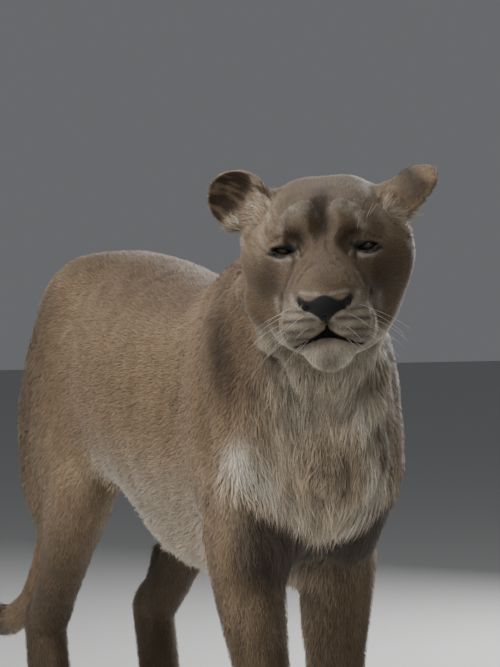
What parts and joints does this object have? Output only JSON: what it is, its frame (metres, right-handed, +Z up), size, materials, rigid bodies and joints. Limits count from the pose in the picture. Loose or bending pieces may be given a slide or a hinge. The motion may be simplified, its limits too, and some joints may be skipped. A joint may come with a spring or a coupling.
{
  "type": "lioness",
  "caption": "Adult lioness standing on four legs, head turned to her right and level with her shoulders, mouth closed, tail hanging behind; a still, life-size figure.",
  "frame": {"origin": "on the floor under the middle of the figure's bounding box", "axes": "+Z up; the animal faces -Y, and her left side is +X"},
  "size_m": [0.432, 2.0186, 1.1319],
  "materials": {
    "coat": "short tawny hair",
    "pale_coat": "pale hair of the chin",
    "nose_leather": "fine-grained and slightly damp",
    "dark_tuft": "longer dark hair",
    "eye": "glossy"
  },
  "bodies": {
    "root": {"belly": "coat", "chest": "coat", "ear_left": "coat", "ear_right": "coat", "eye_left": "eye", "eye_right": "eye", "forearm_left": "coat", "forearm_right": "coat", "forepaw_left": "coat", "forepaw_right": "coat", "head": "coat", "hindleg_left": "coat", "hindleg_right": "coat", "hindpaw_left": "coat", "hindpaw_right": "coat", "lower_jaw": "pale_coat", "neck": "coat", "nose_pad": "nose_leather", "rump": "coat", "tail_base": "coat", "tail_end": "coat", "tail_middle": "coat", "tail_tuft": "dark_tuft", "thigh_left": "coat", "thigh_right": "coat", "upper_arm_left": "coat", "upper_arm_right": "coat"}
  },
  "joints": []
}
